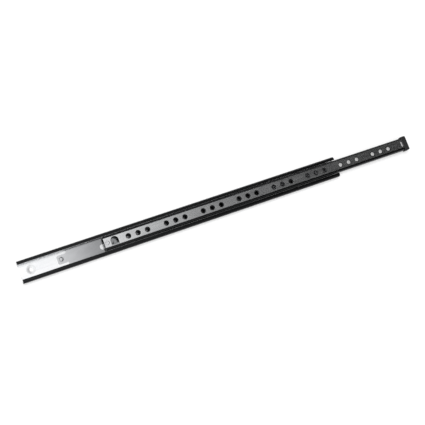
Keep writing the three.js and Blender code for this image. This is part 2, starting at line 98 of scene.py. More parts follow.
# Ball cage: its narrow tongue, dimple and hole, and the lug that the latch's hook meets. The
# dimple's taper is its top's share of its foot.
TONGUE_LENGTH = 15.5
TONGUE_WIDTH = 14.0
TONGUE_CORNER = 3.0
CAGE_DIMPLE_AT = 6.0
CAGE_DIMPLE = 8.2
CAGE_DIMPLE_RISE = 1.2
CAGE_DIMPLE_FOOT = 0.35
CAGE_DIMPLE_TAPER = 0.6
CAGE_DIMPLE_ROUND = 0.8
CAGE_HOLE_AT = 72.0
CAGE_HOLE = 8.5
CAGE_HOLE_OFFSET = -2.0
LUG_WIDTH = 4.0
LUG_SHEET = 1.6
LUG_HEIGHT = 4.3
LUG_ROUND = 0.7
STOP_GAP = 0.4

# End block: a cap with two arms that grip the drawer rail's flanges from inside.
BLOCK_LENGTH = 8.4
BLOCK_CORNER = 2.0
BLOCK_FRONT_WALL = 3.6
BLOCK_TOP_WALL = 1.9
BLOCK_RIM = 0.7
BLOCK_DISH = 0.4
BLOCK_DISH_SLOPE = 0.25
ARM_INSIDE = 6.3
ARM_OUTSIDE = 8.9
ARM_ROUND = 0.7

# Latch: a lever on a rivet, pushed by a torsion spring. The rim round the punch in the rivet's head
# is a share of the head's radius, and its taper is the punch's foot's share of its top.
PIVOT_AT = 5.1
RIVET_HEAD = 5.7
RIVET_PUNCH = 0.2
RIVET_PUNCH_RIM = 0.36
RIVET_PUNCH_TAPER = 0.85
RIVET_SHANK = 4.0
RIVET_FOOT = 7.4
RIVET_FOOT_SHEET = 0.9
LEVER_SHEET = 1.0
LEVER_ARM = 3.8
LEVER_EYE = 8.3
LEVER_TAB = 4.2
LEVER_TAB_TOP = 0.2
LEVER_TAB_GAP = 2.2
HOOK_WIDTH = 5.0
SPRING_WIRE = 0.6
SPRING_TURNS = 2.5
SPRING_LEG = 5.0

# How far the sharp edges are broken.
OUTER_EDGE = 0.14
INNER_EDGE = 0.12
CAGE_EDGE = 0.07
BLOCK_EDGE = 0.3
LEVER_EDGE = 0.12
RIVET_EDGE = 0.1

# A cutter reaches this far past the faces that it cuts.
PAST = 1.0
# A rounding stops this far short of the middle, so that a half round keeps two corners.
SHORT = 0.01
# Places closer than this are one place.
SAME = 0.01
# A direction whose part along an axis is more than this points along it.
ALONG = 0.999

# ---- Where the finishes and the painted shade change, in millimetres ------------------------
# Each pair says where a change begins and where it is full.
# The cabinet rail's painted shade on its lips: out from the race's middle, down from the lips' top, and in
# from the sheet's outside.
LIP_OUT = (0.0, 1.0)
LIP_DOWN = (0.4, 0.15)
LIP_IN = (1.0, 0.5)
# The drawer rail's painted shade: out from the edge of its flat web, down from the top of its punched
# edges, and up from their foot. The shade is shifted, so the bright strip lies off the rail's middle.
BEND_OUT = (-0.3, 0.8)
HOLE_SHADE_DOWN = (0.03, 0.12)
HOLE_SHADE_UP = (0.0, 0.1)
BRIGHT_STRIP_OFFSET = 0.7
# The screw dimples' matt slopes: down from the web's top, and how much rougher they are.
PEENED_DOWN = (0.0, 0.15)
PEENED_ROUGHNESS = 0.16
# The cage's painted shade, darker towards the front: from the cage's rear end, and how full it gets.
FORWARD_SHADE_ALONG = (10.0, 75.0)
FORWARD_SHADE_SHARE = 0.8

# ---- The studio that polished steel sees ----------------------------------------------------
# The walls' grey, and the rises, for each metre of a ray, between which the white horizon ends.
WALLS = 0.6
HORIZON = (0.3, 0.5)
# The ceiling strip. Places in it are slopes: how far along, or across, for each metre up. First
# the lamp's strength, where it begins to die away towards the front, and how fast.
LIGHT_LEVEL = 1.4
LIGHT_END = 0.14
LIGHT_FADE = 10.0
# The strip's middle, and how far from it the strip's soft edge begins and ends.
STRIP_ALONG, STRIP_HALF_LENGTH = 0.25, (0.55, 0.75)
STRIP_ACROSS, STRIP_HALF_WIDTH = -0.2, (1.0, 1.3)
# Rays that rise less than this for each metre of their length are given this rise.
LOWEST_RISE = 0.02

# ---- Floor, lamp and camera, in metres and degrees ------------------------------------------
FLOOR_SIZE = 9.0
FLOOR_DROP = 0.0003
FLOOR_LIFT = 0.3
LAMP_AT = (-0.3, 0.2, 1.9)
LAMP_SIZE = (1.6, 1.0)
LAMP_WATTS = 22
CAMERA_AT = (-0.3854, -0.1748, 1.298)
CAMERA_AIM = (0.0414, -0.0066, 0.006)
CAMERA_TURN = -20.97
CAMERA_LENS = 72.4
CAMERA_SENSOR = 36


# ---- Modelling helpers ----------------------------------------------------------------------
def only(piece):
    """Selects this piece and nothing else."""
    bpy.ops.object.select_all(action="DESELECT")
    piece.select_set(True)
    bpy.context.view_layer.objects.active = piece


def edit(piece):
    """Goes into edit mode on this piece."""
    only(piece)
    bpy.ops.object.mode_set(mode="EDIT")


def leave_edit():
    """Goes back to object mode."""
    bpy.ops.object.mode_set(mode="OBJECT")


def choose(kind, wanted):
    """In edit mode, selects the vertices, edges or faces that pass the test. Places are in mm."""
    bpy.ops.mesh.select_mode(type=kind)
    bpy.ops.mesh.select_all(action="DESELECT")
    shape = bmesh.from_edit_mesh(bpy.context.object.data)
    if kind == "VERT":
        for vertex in shape.verts:
            vertex.select_set(bool(wanted(vertex.co / MM)))
    elif kind == "EDGE":
        for edge in shape.edges:
            a, b = (v.co / MM for v in edge.verts)
            edge.select_set(bool(wanted((a + b) / 2, (b - a).normalized())))
    else:
        for face in shape.faces:
            face.select_set(bool(wanted(face.calc_center_median() / MM, face.normal)))
    shape.select_flush_mode()
    bmesh.update_edit_mesh(bpy.context.object.data)


def take(name):
    """Names the newest object and puts its place into its mesh."""
    piece = bpy.context.object
    piece.name = name
    piece.data.name = name
    bpy.ops.object.transform_apply(location=True, rotation=True, scale=True)
    return piece


def block(name, low, high):
    """A cube between two corners, in mm."""
    middle = [(a + b) / 2 * MM for a, b in zip(low, high)]
    size = [(b - a) * MM for a, b in zip(low, high)]
    bpy.ops.object.select_all(action="DESELECT")
    bpy.ops.mesh.primitive_cube_add(size=1, location=middle)
    bpy.context.object.scale = size
    return take(name)


def post(name, place, radius, low, high, top_radius=None, sides=48):
    """A round post or cone standing on Z, in mm."""
    bpy.ops.object.select_all(action="DESELECT")
    bpy.ops.mesh.primitive_cone_add(
        vertices=sides,
        radius1=radius * MM,
        radius2=(radius if top_radius is None else top_radius) * MM,
        depth=(high - low) * MM,
        location=(place[0] * MM, place[1] * MM, (low + high) / 2 * MM),
    )
    return take(name)


def round_corners(piece, corner, radius, steps=8):
    """Rounds the upright edges that pass the test on (x, y) in mm."""
    edit(piece)
    choose("EDGE", lambda at, way: abs(way.z) > ALONG and corner(at.x, at.y))
    bpy.ops.mesh.bevel(offset=radius * MM, segments=steps, affect="EDGES")
    leave_edit()
    return piece


def apply(piece, kind, **settings):
    """Gives the piece a modifier with these settings and applies it."""
    only(piece)
    modifier = piece.modifiers.new(kind.lower(), kind)
    for setting, value in settings.items():
        setattr(modifier, setting, value)
    bpy.ops.object.modifier_apply(modifier=modifier.name)
    return piece


def joined(pieces):
    """The pieces as one object."""
    only(pieces[0])
    for piece in pieces[1:]:
        piece.select_set(True)
    bpy.ops.object.join()
    return bpy.context.object


def cut(piece, cutters, operation="DIFFERENCE"):
    """Takes the cutters, which don't touch one another, out of the piece, or adds them to it."""
    tool = joined(cutters) if len(cutters) > 1 else cutters[0]
    apply(piece, "BOOLEAN", object=tool, operation=operation, solver="EXACT")
    bpy.data.objects.remove(tool, do_unlink=True)
    return piece


def ease_edges(piece, width, steps=2, angle=35):
    """Breaks the sharp edges, as deburring and plating leave them, and keeps flat faces flat."""
    apply(
        piece,
        "BEVEL",
        width=width * MM,
        segments=steps,
        limit_method="ANGLE",
        angle_limit=math.radians(angle),
        use_clamp_overlap=True,
    )
    return smooth_faces(piece)


def smooth_faces(piece):
    """Shades the faces smooth up to 40 degrees, with nothing kept from an earlier smoothing."""
    only(piece)
    bpy.ops.mesh.customdata_custom_splitnormals_clear()
    bpy.ops.object.shade_smooth_by_angle(angle=math.radians(40))
    apply(piece, "WEIGHTED_NORMAL", weight=60, keep_sharp=True)
    return piece


def copied(piece, name, by):
    """A copy with its own mesh, moved by (x, y, z) mm."""
    only(piece)
    bpy.ops.object.duplicate(linked=False)
    copy = bpy.context.object
    copy.name = name
    copy.data.name = name
    edit(copy)
    bpy.ops.mesh.select_all(action="SELECT")
    bpy.ops.transform.translate(value=[step * MM for step in by])
    leave_edit()
    return copy


def corners(node):
    """The CAD node's lowest and highest corners, in mm."""
    low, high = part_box(node)
    return low / MM, high / MM


def half_web(name, rear, front, half_width, level):
    """Half of a rail's flat web, from the middle line out to one side."""
    bpy.ops.object.select_all(action="DESELECT")
    bpy.ops.mesh.primitive_plane_add(
        size=1,
        location=((rear + front) / 2 * MM, half_width / 2 * MM, level * MM),
    )
    bpy.context.object.scale = ((front - rear) * MM, half_width * MM, 1)
    return take(name)


def far_edge(y, z):
    """Selects the strip's free edge, which lies along the rail at (y, z)."""
    choose(
        "EDGE",
        lambda at, way: abs(way.x) > ALONG and abs(at.y - y) < SAME and abs(at.z - z) < SAME,
    )


def roll(centre, degrees, steps):
    """Rolls the selected edge round an axis along the rail, through (y, z)."""
    bpy.ops.mesh.spin(
        steps=steps,
        angle=-math.radians(degrees),
        center=(0, centre[0] * MM, centre[1] * MM),
        axis=(1, 0, 0),
    )


def draw_out(z):
    """Draws the selected edge or face straight up or down by z mm, and leaves its copy selected."""
    bpy.ops.mesh.extrude_region_move(TRANSFORM_OT_translate={"value": (0, 0, z * MM)})


def whole_section(piece, sheet, inwards):
    """Mirrors the half section and gives the sheet its thickness."""
    leave_edit()
    apply(piece, "MIRROR", use_axis=(False, True, False), use_mirror_merge=True)
    edit(piece)
    bpy.ops.mesh.select_all(action="SELECT")
    bpy.ops.mesh.remove_doubles(threshold=SAME * MM)
    bpy.ops.mesh.normals_make_consistent(inside=False)
    leave_edit()
    apply(piece, "SOLIDIFY", thickness=sheet * MM, offset=inwards, use_even_offset=True)
    return piece


# ---- Cabinet rail ---------------------------------------------------------------------------
def screw_places(low, high):
    """The cabinet rail's screw holes: one near each end and two evenly between."""
    rear, front = low.x + REAR_SCREW, high.x - FRONT_SCREW
    return [rear + (front - rear) * step / (SCREWS - 1) for step in range(SCREWS)]


def cabinet_rail():
    """The wide rail: a web with two curled lips, four dimpled screw holes and the stop tab."""
    low, high = corners("cabinet_rail")
    race_y = high.y - RACE_OUTSIDE
    rise = OUTER_DEPTH - 2 * RACE_OUTSIDE
    rail = half_web("cabinet_rail_steel", low.x, high.x, race_y, 0)
    edit(rail)
    far_edge(race_y, 0)
    roll((race_y, RACE_OUTSIDE), 90, 14)
    far_edge(high.y, RACE_OUTSIDE)
    draw_out(rise)
    far_edge(high.y, RACE_OUTSIDE + rise)
    roll((race_y, RACE_OUTSIDE + rise), LIP_ANGLE, 18)
    whole_section(rail, OUTER_SHEET, -1)
    places = screw_places(low, high)
    seat = OUTER_SHEET - SCREW_DIMPLE_DEPTH
    slope = (SCREW_DIMPLE - SCREW_HOLE) / 2 / SCREW_DIMPLE_DEPTH
    wide = SCREW_HOLE / 2 + slope * (SCREW_DIMPLE_DEPTH + PAST)
    over = OUTER_SHEET + PAST
    cut(rail, [post("dimple", (x, 0), SCREW_HOLE / 2, seat, over, wide, 64) for x in places])
    tab_rear = high.x - STOP_TAB_FROM_FRONT
    tab_front, half_tab = tab_rear + STOP_TAB_SHEET, STOP_TAB_WIDTH / 2
    window_front = (tab_front + STOP_TAB_WINDOW, half_tab, over)
    window = block("tab_window", (tab_front, -half_tab, -PAST), window_front)
    cut(rail, [post("hole", (x, 0), SCREW_HOLE / 2, -PAST, over) for x in places] + [window])
    tab_top = OUTER_SHEET + STOP_TAB_RISE
    tab = block("stop_tab", (tab_rear, -half_tab, 0), (tab_front, half_tab, tab_top))
    edit(tab)
    choose("EDGE", lambda at, way: abs(way.x) > ALONG and at.z > OUTER_SHEET)
    bpy.ops.mesh.bevel(offset=STOP_TAB_ROUND * MM, segments=5, affect="EDGES")
    leave_edit()
    cut(rail, [tab], "UNION")
    return ease_edges(rail, OUTER_EDGE)


# ---- Drawer rail ----------------------------------------------------------------------------
def group_hole_places(low, high):
    """Groups of three holes, evenly spaced along the rail."""
    first, last = low.x + FIRST_GROUP, high.x - LAST_GROUP
    pitch = (last - first) / (HOLE_GROUPS - 1)
    middles = [first + pitch * group for group in range(HOLE_GROUPS)]
    return [middle + side * HOLE_SPACING for middle in middles for side in (-1, 0, 1)]


def drawer_rail():
    """The narrow rail: a web with grooved flanges, its groups of holes, the latch window, the rivet
    hole and the end slot."""
    low, high = corners("drawer_rail")
    ball_low, ball_high = corners("ball_upper_01")
    ball = (ball_low + ball_high) / 2
    bend_y, bend_z = high.y - INNER_BEND, high.z - INNER_BEND
    half_groove = math.degrees(math.acos((ball.y - high.y) / BALL_GROOVE))
    reach = BALL_GROOVE * math.sin(math.radians(half_groove))
    rail = half_web("drawer_rail_steel", low.x, high.x, bend_y, high.z)
    edit(rail)
    far_edge(bend_y, high.z)
    roll((bend_y, bend_z), -90, 12)
    far_edge(high.y, bend_z)
    draw_out(ball.z + reach - bend_z)
    far_edge(high.y, ball.z + reach)
    roll((ball.y, ball.z), 2 * half_groove, 12)
    far_edge(high.y, ball.z - reach)
    draw_out(FLANGE_TIP - ball.z + reach)
    whole_section(rail, INNER_SHEET, -1)
    under, over = high.z - INNER_SHEET - PAST, high.z + PAST
    places = group_hole_places(low, high)
    seat, slope = high.z - GROUP_SINK_DEPTH, (GROUP_SINK - GROUP_HOLE) / 2 / GROUP_SINK_DEPTH
    wide = GROUP_HOLE / 2 + slope * (GROUP_SINK_DEPTH + PAST)
    cut(rail, [post("sink", (x, 0), GROUP_HOLE / 2, seat, over, wide) for x in places])
    cut(rail, [post("hole", (x, 0), GROUP_HOLE / 2, under, over) for x in places])
    window_rear = low.x + WINDOW_REAR
    window_front = window_rear + WINDOW_LENGTH
    window_low, window_high = WINDOW_OFFSET - WINDOW_WIDTH / 2, WINDOW_OFFSET + WINDOW_WIDTH / 2
    window = block("window", (window_rear, window_low, under), (window_front, window_high, over))
    round_corners(window, lambda x, y: y > 0, WINDOW_LENGTH / 2 - SHORT, 16)
    slot_x, half_slot, half_length = high.x - END_SLOT_FROM_FRONT, END_SLOT_WIDTH / 2, END_SLOT_LENGTH / 2
    slot_front = (slot_x + half_slot, half_length, over)
    slot = block("end_slot", (slot_x - half_slot, -half_length, under), slot_front)
    round_corners(slot, lambda x, y: True, half_slot - SHORT, 8)
    pivot = low.x + PIVOT_AT
    bore, seat = RIVET_SHANK / 2 + RUNNING_GAP, RIVET_HEAD / 2 + RUNNING_GAP
    sink = post("rivet_seat", (pivot, 0), bore, high.z - INNER_SHEET, high.z, seat)
    cut(rail, [window, slot, sink])
    cut(rail, [post("rivet_hole", (pivot, 0), bore, under, over)])
    return ease_edges(rail, INNER_EDGE)


# ---- Ball cage and balls --------------------------------------------------------------------
def ball_places():
    """Each CAD ball's name and middle, in mm."""
    names = sorted(name for name in frame["nodes"] if name.startswith("ball_") and name != "ball_cage")
    return [(name, (corners(name)[0] + corners(name)[1]) / 2) for name in names]


def pocket(place):
    """A round cutter through the cage's side wall, where a ball sits."""
    bpy.ops.object.select_all(action="DESELECT")
    bpy.ops.mesh.primitive_cylinder_add(
        vertices=40,
        radius=(BALL_RADIUS + RUNNING_GAP) * MM,
        depth=CAGE_SHEET * 3 * MM,
        location=place * MM,
        rotation=(math.radians(90), 0, 0),
    )
    return take("pocket")


def cage_dome(low, radius, foot, top):
    """A low round dome, for the dimple on the cage's tongue and for its hollow underside."""
    dome = post("dome", (low.x + CAGE_DIMPLE_AT, 0), radius, foot, top, radius * CAGE_DIMPLE_TAPER, 40)
    edit(dome)
    choose("EDGE", lambda at, way: abs(at.z - top) < SAME)
    bpy.ops.mesh.bevel(offset=CAGE_DIMPLE_ROUND * MM, segments=5, affect="EDGES")
    leave_edit()
    return dome


def cage_lug(low):
    """A lug ahead of the hook at rest, where the hook meets it at full extension."""
    behaviour = frame["record"]["behaviour"]
    travel = behaviour["joints"][0]["range_m"][1] / MM
    share = behaviour["couplings"][0]["ratio"]
    rear = corners("latch_lever")[1].x + travel * (1 - share) + STOP_GAP
    half, top = LUG_WIDTH / 2, low.z + LUG_HEIGHT
    lug = block("lug", (rear, -half, low.z), (rear + LUG_SHEET, half, top))
    edit(lug)
    choose("EDGE", lambda at, way: abs(way.x) > ALONG and at.z > top - SAME)
    bpy.ops.mesh.bevel(offset=LUG_ROUND * MM, segments=4, affect="EDGES")
    leave_edit()
    return lug


def ball_cage():
    """A thin channel with a tongue at its rear, ball pockets in its walls, a dimple, a hole and a lug."""
    low, high = corners("ball_cage")
    web_top = low.z + CAGE_SHEET
    bend_y, bend_z = high.y - CAGE_BEND, low.z + CAGE_BEND
    cage = half_web("ball_cage_steel", low.x, high.x, bend_y, low.z)
    edit(cage)
    far_edge(bend_y, low.z)
    roll((bend_y, bend_z), 90, 8)
    far_edge(high.y, bend_z)
    draw_out(CAGE_TIP - bend_z)
    whole_section(cage, CAGE_SHEET, -1)
    cut(cage, [pocket(place) for name, place in ball_places()])
    tongue_front, half_tongue = low.x + TONGUE_LENGTH, TONGUE_WIDTH / 2
    under, rear, tip = low.z - PAST, low.x - PAST, CAGE_TIP + PAST
    sides = [
        block("side", (rear, half_tongue, under), (tongue_front, high.y + PAST, tip)),
        block("side", (rear, low.y - PAST, under), (tongue_front, -half_tongue, tip)),
    ]
    hole_at = (low.x + CAGE_HOLE_AT, CAGE_HOLE_OFFSET)
    cut(cage, sides + [post("hole", hole_at, CAGE_HOLE / 2, under, web_top + PAST)])
    round_corners(cage, lambda x, y: x < low.x + SAME, TONGUE_CORNER)
    ease_edges(cage, CAGE_EDGE)
    dome_foot, dome_top = web_top - CAGE_DIMPLE_FOOT, web_top + CAGE_DIMPLE_RISE
    cut(cage, [cage_dome(low, CAGE_DIMPLE / 2, dome_foot, dome_top), cage_lug(low)], "UNION")
    cut(cage, [cage_dome(low, CAGE_DIMPLE / 2 - CAGE_SHEET, under, dome_top - CAGE_SHEET)])
    return smooth_faces(cage)


def first_ball(name, place):
    """A cube divided and drawn out round, which leaves no poles."""
    bpy.ops.object.select_all(action="DESELECT")
    bpy.ops.mesh.primitive_cube_add(size=2 * BALL_RADIUS * MM)
    ball = take(name)
    edit(ball)
    bpy.ops.mesh.select_all(action="SELECT")
    bpy.ops.mesh.subdivide(number_cuts=9)
    bpy.ops.transform.tosphere(value=1)
    leave_edit()
    reach = max(vertex.co.length for vertex in ball.data.vertices)
    edit(ball)
    bpy.ops.mesh.select_all(action="SELECT")
    bpy.ops.transform.resize(value=[BALL_RADIUS * MM / reach] * 3)
    bpy.ops.transform.translate(value=place * MM)
    leave_edit()
    only(ball)
    bpy.ops.object.shade_smooth()
    return ball


def balls():
    """All the balls, each with the name of its CAD node."""
    places = ball_places()
    first_name, first_place = places[0]
    first = first_ball(first_name + "_steel", first_place)
    others = [copied(first, name + "_steel", place - first_place) for name, place in places[1:]]
    return list(zip([name for name, place in places], [first] + others))


# ---- End block ------------------------------------------------------------------------------
def end_block():
    """A moulded cap: its front face is dished a little, and it is hollow between its arms."""
    low, high = corners("end_block")
    rear = high.x - BLOCK_LENGTH
    body = block("end_block_plastic", (rear, low.y, low.z), (high.x, high.y, high.z))
    round_corners(body, lambda x, y: x > rear + SAME, BLOCK_CORNER, 10)
    ease_edges(body, BLOCK_EDGE, 3)
    edit(body)
    choose("FACE", lambda at, normal: normal.x > ALONG)
    bpy.ops.mesh.inset(thickness=BLOCK_RIM * MM)
    bpy.ops.mesh.inset(thickness=BLOCK_DISH_SLOPE * MM, depth=-BLOCK_DISH * MM)
    leave_edit()
    hollow_low = (rear - PAST, -ARM_INSIDE, low.z - PAST)
    hollow_high = (high.x - BLOCK_FRONT_WALL, ARM_INSIDE, high.z - BLOCK_TOP_WALL)
    cut(body, [block("hollow", hollow_low, hollow_high)])
    arm_top = high.z - INNER_BEND
    for near, far in ((-ARM_OUTSIDE, -ARM_INSIDE), (ARM_INSIDE, ARM_OUTSIDE)):
        arm = block("arm", (low.x, near, low.z), (rear + PAST, far, arm_top))
        edit(arm)
        choose("EDGE", lambda at, way: at.x < low.x + SAME)
        bpy.ops.mesh.bevel(offset=ARM_ROUND * MM, segments=4, affect="EDGES")
        leave_edit()
        cut(body, [arm], "UNION")
    return smooth_faces(body)


# ---- Latch ----------------------------------------------------------------------------------
def slit(axis, places):
    """In edit mode, divides the whole mesh across an axis (0 for X, 1 for Y, 2 for Z) at each place."""
    for place in places:
        point, normal = [0, 0, 0], [0, 0, 0]
        point[axis], normal[axis] = place * MM, 1
        bpy.ops.mesh.select_all(action="SELECT")
        bpy.ops.mesh.bisect(plane_co=point, plane_no=normal)


def grow(wanted, way):
    """In edit mode, draws the chosen faces out by (x, y, z) mm."""
    choose("FACE", wanted)
    bpy.ops.mesh.extrude_region_move(TRANSFORM_OT_translate={"value": [step * MM for step in way]})


def latch_lever():
    """One pressing: a strip beside the window, with the eye, the finger tab and the hook on it."""
    low, high = corners("latch_lever")
    rail_low, rail_high = corners("drawer_rail")
    pivot, hook = rail_low.x + PIVOT_AT, high.x
    over = rail_high.z - INNER_SHEET - RUNNING_GAP
    under, arm_top = over - LEVER_SHEET, low.y + LEVER_ARM
    tab_x = rail_low.x + WINDOW_REAR + WINDOW_LENGTH / 2
    tab_rear, tab_front = tab_x - LEVER_TAB / 2, tab_x + LEVER_TAB / 2
    tab_foot = WINDOW_OFFSET - WINDOW_WIDTH / 2 + LEVER_TAB_GAP
    neck_rear, neck_front, cross_rear = pivot - LEVER_ARM / 2, pivot + LEVER_ARM / 2, hook - LEVER_ARM
    lever = block("latch_lever_steel", (neck_rear, low.y, under), (hook, arm_top, over))
    edit(lever)
    slit(0, (neck_front, tab_rear, tab_front, cross_rear, hook - LEVER_SHEET))
    grow(lambda at, way: way.y > ALONG and at.x < neck_front, (0, -arm_top, 0))
    tab_reach = LEVER_TAB_TOP - arm_top
    grow(lambda at, way: way.y > ALONG and tab_rear < at.x < tab_front, (0, tab_reach, 0))
    grow(lambda at, way: way.y > ALONG and at.x > cross_rear, (0, HOOK_WIDTH / 2 - arm_top, 0))
    slit(1, (tab_foot, -HOOK_WIDTH / 2))
    grow(
        lambda at, way: way.z > ALONG and tab_rear < at.x < tab_front and at.y > tab_foot,
        (0, 0, high.z - over),
    )
    grow(
        lambda at, way: way.z < -ALONG and at.x > hook - LEVER_SHEET and at.y > -HOOK_WIDTH / 2,
        (0, 0, low.z - under),
    )
    leave_edit()
    cut(lever, [post("eye", (pivot, 0), LEVER_EYE / 2, under, over, sides=56)], "UNION")
    bore = RIVET_SHANK / 2 + RUNNING_GAP
    cut(lever, [post("bore", (pivot, 0), bore, under - PAST, over + PAST)])
    edit(lever)
    bpy.ops.mesh.select_all(action="SELECT")
    bpy.ops.mesh.remove_doubles(threshold=SAME * MM)
    bpy.ops.mesh.dissolve_limited(angle_limit=math.radians(1))
    leave_edit()
    return ease_edges(lever, LEVER_EDGE)


def latch_rivet():
    """Its foot, shank and flared head, drawn up from one disc. The head's middle is punched in."""
    low, high = corners("latch_rivet")
    x = (low.x + high.x) / 2
    foot, shank, head = RIVET_FOOT / 2, RIVET_SHANK / 2, RIVET_HEAD / 2
    bpy.ops.object.select_all(action="DESELECT")
    bpy.ops.mesh.primitive_circle_add(
        vertices=48, radius=foot * MM, fill_type="NGON", location=(x * MM, 0, low.z * MM)
    )
    rivet = take("latch_rivet_steel")
    edit(rivet)
    bpy.ops.mesh.select_all(action="SELECT")
    draw_out(RIVET_FOOT_SHEET)
    bpy.ops.mesh.inset(thickness=(foot - shank) * MM)
    draw_out(high.z - INNER_SHEET - low.z - RIVET_FOOT_SHEET)
    draw_out(INNER_SHEET)
    bpy.ops.transform.resize(value=(head / shank, head / shank, 1))
    bpy.ops.mesh.inset(thickness=head * RIVET_PUNCH_RIM * MM)
    draw_out(-RIVET_PUNCH)
    bpy.ops.transform.resize(value=(RIVET_PUNCH_TAPER, RIVET_PUNCH_TAPER, 1))
    bpy.ops.mesh.select_all(action="SELECT")
    bpy.ops.mesh.normals_make_consistent(inside=False)
    leave_edit()
    return ease_edges(rivet, RIVET_EDGE)


def latch_spring():
    """A torsion coil round the rivet: a ring of wire screwed up the shank, then its two legs."""
    rivet_low, rivet_high = corners("latch_rivet")
    x, foot = (rivet_low.x + rivet_high.x) / 2, corners("latch_spring")[0].z
    wire = SPRING_WIRE / 2
    coil = RIVET_SHANK / 2 + RUNNING_GAP + wire
    height = SPRING_TURNS * (SPRING_WIRE + RUNNING_GAP)
    bpy.ops.object.select_all(action="DESELECT")
    bpy.ops.mesh.primitive_circle_add(
        vertices=12, radius=wire * MM, location=(coil * MM, 0, 0), rotation=(math.radians(90), 0, 0)
    )
    spring = take("latch_spring_wire")
    apply(
        spring,
        "SCREW",
        angle=math.radians(360 * SPRING_TURNS),
        screw_offset=height * MM,
        steps=90,
        render_steps=90,
        use_merge_vertices=False,
    )
    for side, level in ((1, 0), (-1, height)):
        edit(spring)
        near = wire + SAME
        choose(
            "EDGE",
            lambda at, way: abs(at.x - side * coil) < near
            and abs(at.y) < SAME
            and abs(at.z - level) < near,
        )
        bpy.ops.mesh.extrude_region_move(TRANSFORM_OT_translate={"value": (0, -SPRING_LEG * MM, 0)})
        bpy.ops.mesh.edge_face_add()
        leave_edit()
    edit(spring)
    bpy.ops.mesh.select_all(action="SELECT")
    bpy.ops.mesh.normals_make_consistent(inside=False)
    bpy.ops.transform.translate(value=(x * MM, 0, (foot + wire) * MM))
    leave_edit()
    only(spring)
    bpy.ops.object.shade_smooth_by_angle(angle=math.radians(50))
    return spring


# ---- Finishes -------------------------------------------------------------------------------
def linear(code):
    """An sRGB hex colour as the linear values that the shaders take."""
    parts = [int(code[start:start + 2], 16) / 255 for start in (0, 2, 4)]
    return [p / 12.92 if p <= 0.04045 else ((p + 0.055) / 1.055) ** 2.4 for p in parts] + [1.0]


def add_node(tree, kind, settings=None, values=None, links=None):
    """Adds a node, with its settings, the values of its sockets and what feeds them: another node's
    first output, or any output that is named."""
    node = tree.nodes.new(kind)
    for setting, value in (settings or {}).items():
        setattr(node, setting, value)
    for socket, value in (values or {}).items():
        node.inputs[socket].default_value = value
    for socket, source in (links or {}).items():
        output = source.outputs[0] if isinstance(source, bpy.types.Node) else source
        tree.links.new(output, node.inputs[socket])
    return node


def new_finish(name, metallic, roughness):
    """An empty finish: its node tree, its shader and the object's own coordinates."""
    finish = bpy.data.materials.new(name)
    finish.use_nodes = True
    tree = finish.node_tree
    shader = tree.nodes["Principled BSDF"]
    shader.inputs["Metallic"].default_value = metallic
    shader.inputs["Roughness"].default_value = roughness
    place = add_node(tree, "ShaderNodeTexCoord").outputs["Object"]
    return finish, tree, shader, place


def per_mm(*sizes):
    """The scale that makes a pattern repeat every so many mm along X, Y and Z."""
    return [1 / (size * MM) for size in sizes]


def lips_painted_shade(tree, across):
    """The mask of painted shade on the cabinet rail's flanges and lips, on their outside."""
    high = corners("cabinet_rail")[1]
    race_y, race_z = high.y - RACE_OUTSIDE, high.z / 2
    half_straight = race_z - RACE_OUTSIDE
    out = add_node(tree, "ShaderNodeMath", {"operation": "ABSOLUTE"}, links={0: across.outputs["Y"]})
    beyond = add_node(
        tree,
        "ShaderNodeMapRange",
        {"interpolation_type": "SMOOTHSTEP"},
        {"From Min": (race_y + LIP_OUT[0]) * MM, "From Max": (race_y + LIP_OUT[1]) * MM},
        {"Value": out},
    )
    above = add_node(
        tree,
        "ShaderNodeMapRange",
        {"interpolation_type": "SMOOTHSTEP"},
        {"From Min": (high.z - LIP_DOWN[0]) * MM, "From Max": (high.z - LIP_DOWN[1]) * MM},
        {"Value": across.outputs["Z"]},
    )
    either = add_node(tree, "ShaderNodeMath", {"operation": "MAXIMUM"}, links={0: beyond, 1: above})
    aside = add_node(tree, "ShaderNodeMath", {"operation": "SUBTRACT"}, {1: race_y * MM}, {0: out})
    up = add_node(
        tree, "ShaderNodeMath", {"operation": "SUBTRACT"}, {1: race_z * MM}, {0: across.outputs["Z"]}
    )
    off_level = add_node(tree, "ShaderNodeMath", {"operation": "ABSOLUTE"}, links={0: up})
    past = add_node(
        tree, "ShaderNodeMath", {"operation": "SUBTRACT"}, {1: half_straight * MM}, {0: off_level}
    )
    round_part = add_node(tree, "ShaderNodeMath", {"operation": "MAXIMUM"}, {1: 0.0}, {0: past})
    from_race = add_node(tree, "ShaderNodeCombineXYZ", links={0: aside, 1: round_part})
    reach = add_node(tree, "ShaderNodeVectorMath", {"operation": "LENGTH"}, links={0: from_race})
    outside = add_node(
        tree,
        "ShaderNodeMapRange",
        {"interpolation_type": "SMOOTHSTEP"},
        {"From Min": (RACE_OUTSIDE - LIP_IN[0]) * MM, "From Max": (RACE_OUTSIDE - LIP_IN[1]) * MM},
        {"Value": reach.outputs["Value"]},
    )
    return add_node(tree, "ShaderNodeMath", {"operation": "MULTIPLY"}, links={0: either, 1: outside})


